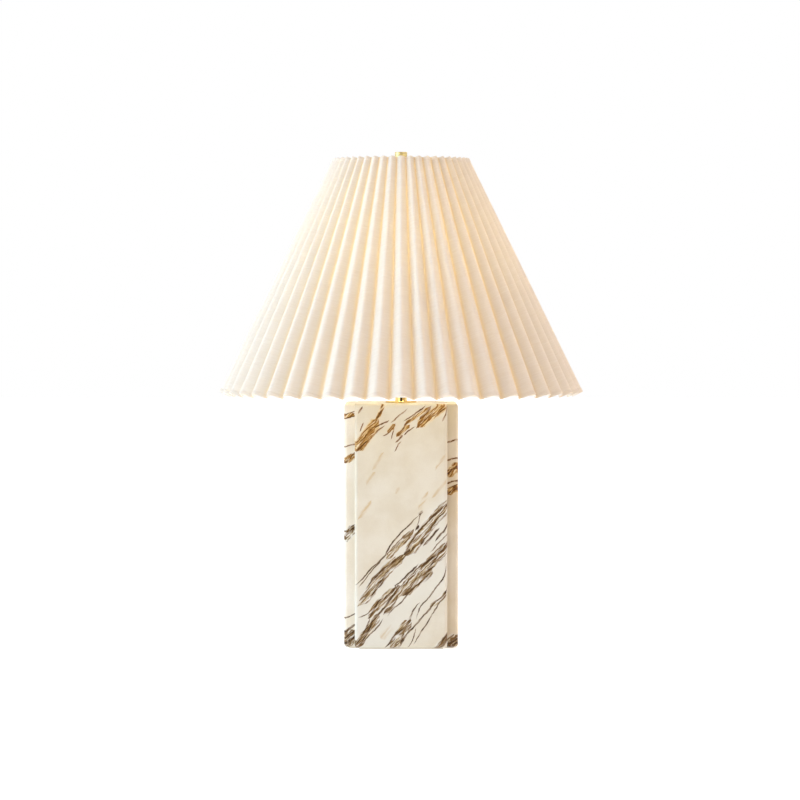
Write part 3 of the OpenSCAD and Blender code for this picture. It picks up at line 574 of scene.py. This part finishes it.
# %% The circuit board
CHIP_T = 0.4
board, board_tree, board_shader = new_material("aluminium_board_lacquered", Roughness=0.35)
board_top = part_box("led_board")[1].z
board_place = add(board_tree, "ShaderNodeTexCoord", give="Object")
board_z = add(board_tree, "ShaderNodeSeparateXYZ", {0: board_place}, give="Z")
on_chip = add(board_tree, "ShaderNodeMath", {0: board_z, 1: board_top - CHIP_T * MM},
              operation="GREATER_THAN")
board_grain = add(board_tree, "ShaderNodeTexNoise", {
    "Vector": board_place, "Scale": 1 / (1.2 * MM), "Detail": 3.0})
lacquer = coat(board_tree, "#f1f1ee", "#dddeda", amount=board_grain)
board_tree.links.new(coat(board_tree, lacquer, "#e8c13c", amount=on_chip),
                     board_shader.inputs["Base Color"])
dress(board, "led_board")

# %% [markdown]
# ## The lit globe
# The globe is a blown milky diffuser. It is the lamp's real light source: its surface emits the
# warm white of a 2700 K bulb. The board lies right under the foot of the globe, so the foot is
# several times brighter than the crown. Everything that glows on the shade comes from here and
# nothing is painted.

# %% The lit globe
BULB_POWER, FOOT_SHARE, CROWN_SHARE = 31.0, 1.9, 0.2
globe, globe_tree, globe_shader = new_material("globe_frosted", Roughness=0.45, IOR=1.5)
globe_low, globe_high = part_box("bulb_dome")
globe_place = add(globe_tree, "ShaderNodeTexCoord", give="Object")
globe_z = add(globe_tree, "ShaderNodeSeparateXYZ", {0: globe_place}, give="Z")
globe_power = add(globe_tree, "ShaderNodeMapRange", {
    "Value": globe_z, "From Min": globe_low.z, "From Max": globe_high.z,
    "To Min": FOOT_SHARE * BULB_POWER, "To Max": CROWN_SHARE * BULB_POWER})
globe_grain = add(globe_tree, "ShaderNodeTexNoise", {
    "Vector": globe_place, "Scale": 1 / (1.5 * MM), "Detail": 2.0})
globe_tree.links.new(coat(globe_tree, "#fbf6ea", "#f1ead9", amount=globe_grain),
                     globe_shader.inputs["Base Color"])
globe_shader.inputs["Emission Color"].default_value = linear("#fff8d2")
globe_tree.links.new(globe_power, globe_shader.inputs["Emission Strength"])
dress(globe, "bulb_dome")

# %% [markdown]
# ## The pleated shade
# The cover is one long piece of linen-look cloth on a stiff backing, folded into 48 pleats, sewn
# to the two rings and drawn in towards the top. Cloth simulation would lose the crisp folds that
# a pleating machine presses in, so the folded sheet is built directly. Its cross-section is a
# round ridge and a sharp inner fold. Its depth is square to the slant and shrinks with the
# radius, which lets the folds hang lower than the ridges at the bottom edge. Small steady errors
# of hand work are added from a fixed seed: a pleat is never exactly like the next one.

# %% The pleats
PLEATS, PLEAT_DEPTH = 48, 11.7
BOTTOM_R, TOP_R, SHADE_H, RIM_TOP_Z = 229.0, 85.5, 293.0, 612.0
CLOTH_T = 0.9
# The hem's height, how far it stands proud, and the height over which it steps out
HEM_H, HEM_T, HEM_STEP = 4.5, 0.35, 0.25
# Points round each pleat, and rows between the hems
STEPS, ROWS = 24, 34
# Roundness of the ridge and of the fold, as shares of the way between them
RIDGE_ROUND, FOLD_ROUND = 0.40, 0.13
# A pleat sways from side to side with 1.1 waves up the slant
SWAY_WAVE = 2.2 * math.pi

half_angle = math.atan((BOTTOM_R - TOP_R) / SHADE_H)
slant = math.hypot(BOTTOM_R - TOP_R, SHADE_H)
# Errors of hand work: turn and sway in shares of a pleat, depth in shares of its depth
rng = random.Random(48)
turn_error = [rng.uniform(-0.028, 0.028) for _ in range(PLEATS)]
depth_error = [rng.uniform(-0.05, 0.03) for _ in range(PLEATS)]
sway_phase = [rng.uniform(0, 2 * math.pi) for _ in range(PLEATS)]
sway_size = [rng.uniform(0.004, 0.016) for _ in range(PLEATS)]

# The profile's slope at 401 places from ridge to fold, which adds up to its depth there
across_half = np.linspace(0, 1, 401)
slope = (across_half / np.hypot(across_half, RIDGE_ROUND)
         * (1 - across_half) / np.hypot(1 - across_half, FOLD_ROUND))
depths = np.concatenate([[0], np.cumsum((slope[1:] + slope[:-1]) / 2)])
depths /= depths[-1]
print("the slant is", round(slant, 1), "mm, at", round(math.degrees(half_angle), 1), "degrees")


def fold_depth(part):
    """Depth of the pleat from its ridge (part 0) to its fold (part 0.5), from 0 to 1."""
    return float(np.interp(2 * abs(part), across_half, depths))


def row_places():
    """Shares of the slant from the bottom (0) to the top (1), closer where the hems step."""
    hem, edge = HEM_H / slant, HEM_STEP / slant
    between_hems = [hem + 2 * edge + (1 - 2 * hem - 4 * edge) * i / ROWS for i in range(ROWS + 1)]
    return [0, edge, hem, hem + edge, *between_hems, 1 - hem - edge, 1 - hem, 1 - edge, 1]


def step_part(step):
    """Where a step lies across its pleat, from -0.5 to 0.5, closer together near the folds."""
    way = 2 * step / STEPS - 1
    return (way + math.sin(way * math.pi / 2)) / 4


def cloth_point(share, pleat, step, sunk, hem):
    """One point of the cover in mm. sunk is its depth below the outer face."""
    part = step_part(step)
    radius = BOTTOM_R + (TOP_R - BOTTOM_R) * share
    height = RIM_TOP_Z - SHADE_H * (1 - share)
    # A fold is shared by two pleats, so errors are blended from ridge to ridge
    if part < 0:
        a, b, t = (pleat - 1) % PLEATS, pleat, 1 + part
    else:
        a, b, t = pleat, (pleat + 1) % PLEATS, part

    def blended(values):
        return values[a] * (1 - t) + values[b] * t

    sway = blended([size * math.sin(SWAY_WAVE * share + phase)
                    for size, phase in zip(sway_size, sway_phase)])
    angle = 2 * math.pi * (pleat + part + blended(turn_error) + sway) / PLEATS
    ratio = PLEAT_DEPTH / BOTTOM_R * (1 + blended(depth_error))
    inward = sunk + ratio * radius * fold_depth(part) - hem
    flat_r = radius - inward * math.cos(half_angle)
    return (flat_r * math.cos(angle), flat_r * math.sin(angle),
            height - inward * math.sin(half_angle))


# %% [markdown]
# ## Sewing the sheet into a closed cover
# The outer face and the inner face are two grids of points. Joined at the top and bottom edges
# they make one closed skin, 0.9 mm thick, with a turned hem that stands a third of a millimetre
# proud. Each point also remembers where it lies on the uncut cloth, in millimetres, so the
# weave can follow the folds.

# %% The cover
# A crease starts at this share of the pleat's depth, and deepens by this power
CREASE_START, CREASE_POWER = 0.62, 1.3
places = row_places()
columns = PLEATS * STEPS


def layer_points(sunk, hem_t):
    """The grid of points of one face of the cloth, with its hem standing proud by hem_t."""
    found = []
    for share in places:
        in_hem = min(share, 1 - share) * slant < HEM_H + HEM_STEP / 2
        found += [cloth_point(share, pleat, step, sunk, hem_t if in_hem else 0.0)
                  for pleat in range(PLEATS) for step in range(STEPS)]
    return found


outer = np.array(layer_points(0.0, HEM_T))
inner = np.array(layer_points(CLOTH_T, 0.0))
rows = len(places)
points = np.vstack([outer, inner]) * MM
faces = []
last, offset = (rows - 1) * columns, rows * columns
for row in range(0, last, columns):
    for j in range(columns):
        k = (j + 1) % columns
        a, b, c, d = row + j, row + k, row + columns + k, row + columns + j
        faces += [(a, b, c, d), (offset + a, offset + d, offset + c, offset + b)]
for j in range(columns):
    k = (j + 1) % columns
    faces += [(j, offset + j, offset + k, k),
              (last + j, last + k, offset + last + k, offset + last + j)]
cover_mesh = bpy.data.meshes.new("shade_cover")
cover_mesh.from_pydata([tuple(p) for p in points], [], faces)
cover_mesh.validate()
cover_mesh.shade_smooth()
cover = in_scene("shade_cover", cover_mesh)

ring = outer.reshape(rows, columns, 3)
steps_along = np.linalg.norm(np.roll(ring, -1, axis=1) - ring, axis=2)
along = np.concatenate([np.zeros((rows, 1)), np.cumsum(steps_along, axis=1)[:, :-1]], axis=1)
up_cloth = np.repeat(np.array(places)[:, None] * slant, columns, axis=1)
on_cloth = np.stack([along, up_cloth, np.zeros_like(along)], axis=2).reshape(-1, 3)
stored = cover_mesh.attributes.new("cloth_mm", "FLOAT_VECTOR", "POINT")
stored.data.foreach_set("vector", np.vstack([on_cloth, on_cloth]).astype(np.float32).ravel())
past_start = [max(0.0, fold_depth(step_part(step)) - CREASE_START) for step in range(STEPS)]
crease = [(past / (1 - CREASE_START)) ** CREASE_POWER for past in past_start]
creased = cover_mesh.attributes.new("crease", "FLOAT", "POINT")
creased.data.foreach_set("value", np.tile(crease, 2 * rows * PLEATS).astype(np.float32))

# %% [markdown]
# ## Linen-look cloth
# The cloth is a plain weave of slubby off-white yarn, calendered and backed, so it is matt and
# lets about a third of the light through. A real yarn is 0.4 mm wide, finer than a pixel of the
# picture, so the weave is drawn at 1.4 mm and the slubs at their real length. Light that comes
# through cloth is a separate shader, Translucent, mixed with the matt surface. Light takes on the
# yarn's colour on the way through, which is why the glow is warmer than the bulb. Pressing the
# inner folds spreads their yarns: more light comes through there, and what looks out of the deep
# fold has crossed the cloth more than once, so it is a deeper yellow.

# %% The cloth
# A slub is a thick place 22 yarns long
YARN_MM, SLUB_YARNS = 1.4, 22
CLOTH_THROUGH, FOLD_THROUGH = 0.36, 0.56
cloth, cloth_tree, cloth_shader = new_material("linen_plain_woven", Roughness=0.92, IOR=1.45)
cloth_mm = add(cloth_tree, "ShaderNodeAttribute", attribute_name="cloth_mm", give="Vector")
yarns = []
yarn_scale, slub_scale = 1 / YARN_MM, 1 / (SLUB_YARNS * YARN_MM)
for stretch in ((yarn_scale, slub_scale, 1), (slub_scale, yarn_scale, 1)):
    laid = add(cloth_tree, "ShaderNodeVectorMath", {0: cloth_mm, 1: stretch}, operation="MULTIPLY")
    yarns.append(add(cloth_tree, "ShaderNodeTexNoise", {
        "Vector": laid, "Scale": 1.0, "Detail": 2.0, "Roughness": 0.5}))
weave = add(cloth_tree, "ShaderNodeMath", {0: yarns[0], 1: yarns[1]}, operation="MULTIPLY")
# Off-white cloth is never one tone: it yellows a little in patches of about 60 mm
dye = add(cloth_tree, "ShaderNodeTexNoise", {"Vector": cloth_mm, "Scale": 1 / 60, "Detail": 3.0})
yarn_tone = add(cloth_tree, "ShaderNodeMapRange", {
    "Value": weave, "From Min": 0.1, "From Max": 0.42})
faded = add(cloth_tree, "ShaderNodeMapRange", {
    "Value": dye, "From Min": 0.3, "From Max": 0.7, "To Max": 0.3})
yarn_colour = coat(cloth_tree, "#ece9e2", "#f6f4ee", amount=yarn_tone)
cloth_tree.links.new(coat(cloth_tree, yarn_colour, "#ebe5d8", amount=faded),
                     cloth_shader.inputs["Base Color"])
cloth_shader.inputs["Sheen Weight"].default_value = 0.12
cloth_relief = add(cloth_tree, "ShaderNodeBump", {
    "Height": weave, "Strength": 0.14, "Distance": 0.25 * MM})
cloth_tree.links.new(cloth_relief, cloth_shader.inputs["Normal"])
crease_here = add(cloth_tree, "ShaderNodeAttribute", attribute_name="crease", give="Fac")
flat_tint = coat(cloth_tree, "#f9e4b8", "#fdedca", amount=yarn_tone)
through = add(cloth_tree, "ShaderNodeBsdfTranslucent", {
    "Color": coat(cloth_tree, flat_tint, "#fde19c", amount=crease_here), "Normal": cloth_relief})
through_share = add(cloth_tree, "ShaderNodeMapRange", {
    "Value": crease_here, "To Min": CLOTH_THROUGH, "To Max": FOLD_THROUGH})
both = add(cloth_tree, "ShaderNodeMixShader", {
    0: through_share, 1: cloth_shader.outputs[0], 2: through})
cloth_tree.links.new(both, cloth_tree.nodes["Material Output"].inputs["Surface"])
cover_mesh.materials.append(cloth)
print("the cloth lets through", CLOTH_THROUGH, "of the light, and its folds", FOLD_THROUGH)

# %% [markdown]
# ## The liner behind the cloth
# A plain film is laminated to the back of the cloth and folded with it. It is matt, white and
# much denser than the linen: most of the bulb's light bounces off it and leaves at the shade's
# bottom, which is what lights the top of the marble. It goes on the inner faces of the same
# sheet.

# %% The liner
LINER_THROUGH, LINER_FOLD_THROUGH = 0.18, 0.32
liner, liner_tree, liner_shader = new_material("liner_film_laminated", Roughness=0.6, IOR=1.46)
liner_mm = add(liner_tree, "ShaderNodeAttribute", attribute_name="cloth_mm", give="Vector")
# Film takes on the cloth's texture when it is rolled on; it is drawn at 2 mm
liner_tint, liner_relief = grained(liner_tree, liner_shader, liner_mm, 1 / 2.0, "#f5f2ea",
                                   "#faf9f5", 0.15, 0.2, Detail=3.0)
liner_through = add(liner_tree, "ShaderNodeBsdfTranslucent", {
    "Color": liner_tint, "Normal": liner_relief})
liner_share = add(liner_tree, "ShaderNodeMapRange", {
    "Value": add(liner_tree, "ShaderNodeAttribute", attribute_name="crease", give="Fac"),
    "To Min": LINER_THROUGH, "To Max": LINER_FOLD_THROUGH})
liner_both = add(liner_tree, "ShaderNodeMixShader", {
    0: liner_share, 1: liner_shader.outputs[0], 2: liner_through})
liner_tree.links.new(liner_both, liner_tree.nodes["Material Output"].inputs["Surface"])
cover_mesh.materials.append(liner)
inner_faces = 0
for face in cover_mesh.polygons:
    if min(face.vertices) >= offset:
        face.material_index = 1
        inner_faces += 1
print("the liner covers", inner_faces, "of", len(cover_mesh.polygons), "faces")
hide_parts("shade_fabric")
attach(cover, "shade")

# %% [markdown]
# ## The felt under the base
# The pad is pressed wool felt, die-cut to a cross a little inside the marble's eased edges, and
# glued on. Felt has no weave: it is a mat of crimped fibres with a soft, slightly pilled edge.
# The outline gets a point every 2.5 mm, and each is pushed in by up to a tenth of a millimetre,
# as a die leaves the fibres. The cut edge is rounded over.

# %% The felt pad
FELT_T, EDGE_EASE, FELT_PITCH, FUZZ = 1.5, 0.35, 2.5, 0.12
# From the middle to the end of an arm, and half an arm's width
reach_mm, width_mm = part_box("felt_pad")[1].x / MM, 52.5


def cross_outline(reach_out, width_out):
    """Corner points of the cross, going round from the front right corner."""
    quarter = [(width_out, -reach_out), (width_out, -width_out), (reach_out, -width_out)]
    found = []
    for turn in range(4):
        c, s = (1, 0, -1, 0)[turn], (0, 1, 0, -1)[turn]
        found += [(x * c - y * s, x * s + y * c) for x, y in quarter]
    return found


def dense(corners, pitch):
    """The outline with a point about every pitch, in mm."""
    found = []
    for (x0, y0), (x1, y1) in zip(corners, corners[1:] + corners[:1]):
        count = max(1, round(math.hypot(x1 - x0, y1 - y0) / pitch))
        found += [(x0 + (x1 - x0) * i / count, y0 + (y1 - y0) * i / count)
                  for i in range(count)]
    return found


felt_rng = random.Random(7)
levels = [(EDGE_EASE, 0.0), (0.0, EDGE_EASE), (0.0, FELT_T - EDGE_EASE), (EDGE_EASE, FELT_T)]
felt_points, felt_faces, loops = [], [], []
outline = dense(cross_outline(reach_mm, width_mm), FELT_PITCH)
fuzz = [felt_rng.uniform(-FUZZ, 0.0) for _ in outline]
for inset, level in levels:
    first = len(felt_points)
    for (x, y), pushed in zip(outline, fuzz):
        scale = (1 - inset / reach_mm) * (1 + pushed / reach_mm) * MM
        felt_points.append((x * scale, y * scale, level * MM))
    loops.append(range(first, first + len(outline)))
for low, high in zip(loops, loops[1:]):
    for i in range(len(low)):
        j = (i + 1) % len(low)
        felt_faces.append((low[i], low[j], high[j], high[i]))
felt_faces += [tuple(reversed(loops[0])), tuple(loops[-1])]
felt_mesh = bpy.data.meshes.new("felt_sheet")
felt_mesh.from_pydata(felt_points, [], felt_faces)
felt_mesh.validate()
felt = in_scene("felt_sheet", felt_mesh)

wool, wool_tree, wool_shader = new_material("wool_felt_pressed", Roughness=0.95)
wool_place = add(wool_tree, "ShaderNodeTexCoord", give="Object")
# Fibres are 0.03 mm thick; they are drawn as 0.8 mm tufts so that they show
grained(wool_tree, wool_shader, wool_place, 1 / (0.8 * MM), "#c9c2b4", "#e6e0d3", 0.8, 0.3,
        Detail=5.0, Roughness=0.7, Distortion=1.2)
wool_shader.inputs["Sheen Weight"].default_value = 0.3
felt_mesh.materials.append(wool)
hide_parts("felt_pad")
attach(felt, "stand")

# %% [markdown]
# ## The studio
# The lamp stands on a plain white table in front of white paper. The key light is a large soft
# box on the left, a little in front of the lamp and above it, and as cool as a north window: it
# makes the left flanks of the pleats white. The rest of the room is an even, warmer light, as
# rooms are when such a lamp is on, so the right flanks turn beige and the folds glow. A narrow
# part of the room, behind the camera, is dark: polished brass shows it as a black line. A white
# card on the left gives it a white one. The table ends in front of the lamp, so the brass sees
# the dark part below it too. The camera itself sees plain white paper all round.

# %% The studio
FLOOR_HALF, FLOOR_FRONT, TABLE_GLOW = 12.0, -1.6, 0.5
floor_mesh = bpy.data.meshes.new("studio_floor")
floor_mesh.from_pydata([(-FLOOR_HALF, FLOOR_FRONT, 0), (FLOOR_HALF, FLOOR_FRONT, 0),
                        (FLOOR_HALF, FLOOR_HALF, 0), (-FLOOR_HALF, FLOOR_HALF, 0)], [],
                       [(0, 1, 2, 3)])
floor = in_scene("studio_floor", floor_mesh)
table, table_tree, table_shader = new_material("table_white_lit", Roughness=0.9)
table_shader.inputs["Base Color"].default_value = linear("#f0f0ee")
table_shader.inputs["Emission Color"].default_value = linear("#ffffff")
table_shader.inputs["Emission Strength"].default_value = TABLE_GLOW
# Seen from below, the table top gives way to the lamp's underside
table_tree.links.new(add(table_tree, "ShaderNodeMixShader", {
    0: add(table_tree, "ShaderNodeNewGeometry", give="Backfacing"),
    1: table_shader.outputs[0],
    2: add(table_tree, "ShaderNodeBsdfTransparent")}),
    table_tree.nodes["Material Output"].inputs["Surface"])
floor_mesh.materials.append(table)

world = bpy.data.worlds.new("studio_room")
world.use_nodes = True
bpy.context.scene.world = world
room = world.node_tree
ROOM_LIGHT, DARK_SHARE, PAPER_WHITE = 1.26, 0.04, 1.0
seen = add(room, "ShaderNodeLightPath", give="Is Camera Ray")
looking = add(room, "ShaderNodeSeparateXYZ", {0: add(
    room, "ShaderNodeTexCoord", give="Generated")}, give="all")
# The dark part fades out from 12 to 20 degrees off the axis (0.2 to 0.34 of a unit direction).
# At the lamp's own level it is wider, and the room's right end is dimmer
rise, aside = [add(room, "ShaderNodeMath", {0: looking[axis]}, operation="ABSOLUTE")
               for axis in "ZX"]
level = shown(room, (rise, 0.12, 0.06, 1))
off_axis = add(room, "ShaderNodeMath", {0: level, 1: -0.12, 2: aside}, operation="MULTIPLY_ADD")
behind = add(room, "ShaderNodeMapRange", {"Value": looking["Y"], "From Min": -0.3, "From Max": 0})
open_part = add(room, "ShaderNodeMath", {0: shown(room, (off_axis, 0.2, 0.34, 1)), 1: behind},
                operation="MAXIMUM")
right_end = add(room, "ShaderNodeMath", {
    0: 1.0, 1: shown(room, (looking["X"], 0.1, 0.4, 0.45), amount=level)}, operation="SUBTRACT")
open_part = add(room, "ShaderNodeMath", {0: open_part, 1: right_end}, operation="MULTIPLY")
lit_part = add(room, "ShaderNodeMapRange", {
    "Value": open_part, "To Min": DARK_SHARE * ROOM_LIGHT, "To Max": ROOM_LIGHT})
# Sockets 2 and 3 of the Mix node take plain numbers
room_light = add(room, "ShaderNodeMix", {"Factor": seen, 2: lit_part, 3: PAPER_WHITE})
room_tint = coat(room, "#fff0ed", "#ffffff", amount=seen)
room.links.new(room_tint, room.nodes["Background"].inputs["Color"])
room.links.new(room_light, room.nodes["Background"].inputs["Strength"])


def soft_box(name, at, aim, width, height, power, hex_code):
    """A soft light at a point, turned towards another point."""
    data = bpy.data.lights.new(name, "AREA")
    data.shape, data.size, data.size_y, data.energy = "RECTANGLE", width, height, power
    data.color = linear(hex_code)[:3]
    light = in_scene(name, data)
    light.location, light.rotation_euler = at, turned_to(at, aim)
    print(name, "gives", power, "W")


KEY_POWER, CARD_POWER = 68, 5
soft_box("key_left", (-3.0, -0.9, 1.4), (0, 0, 0.35), 1.5, 1.5, KEY_POWER, "#95d4ff")
# A white card at lamp height, for the white line on the left of the polished brass
soft_box("card_left", (-1.97, -2.26, 0.5), (0, 0, 0.5), 2.5, 0.7, CARD_POWER, "#ffffff")
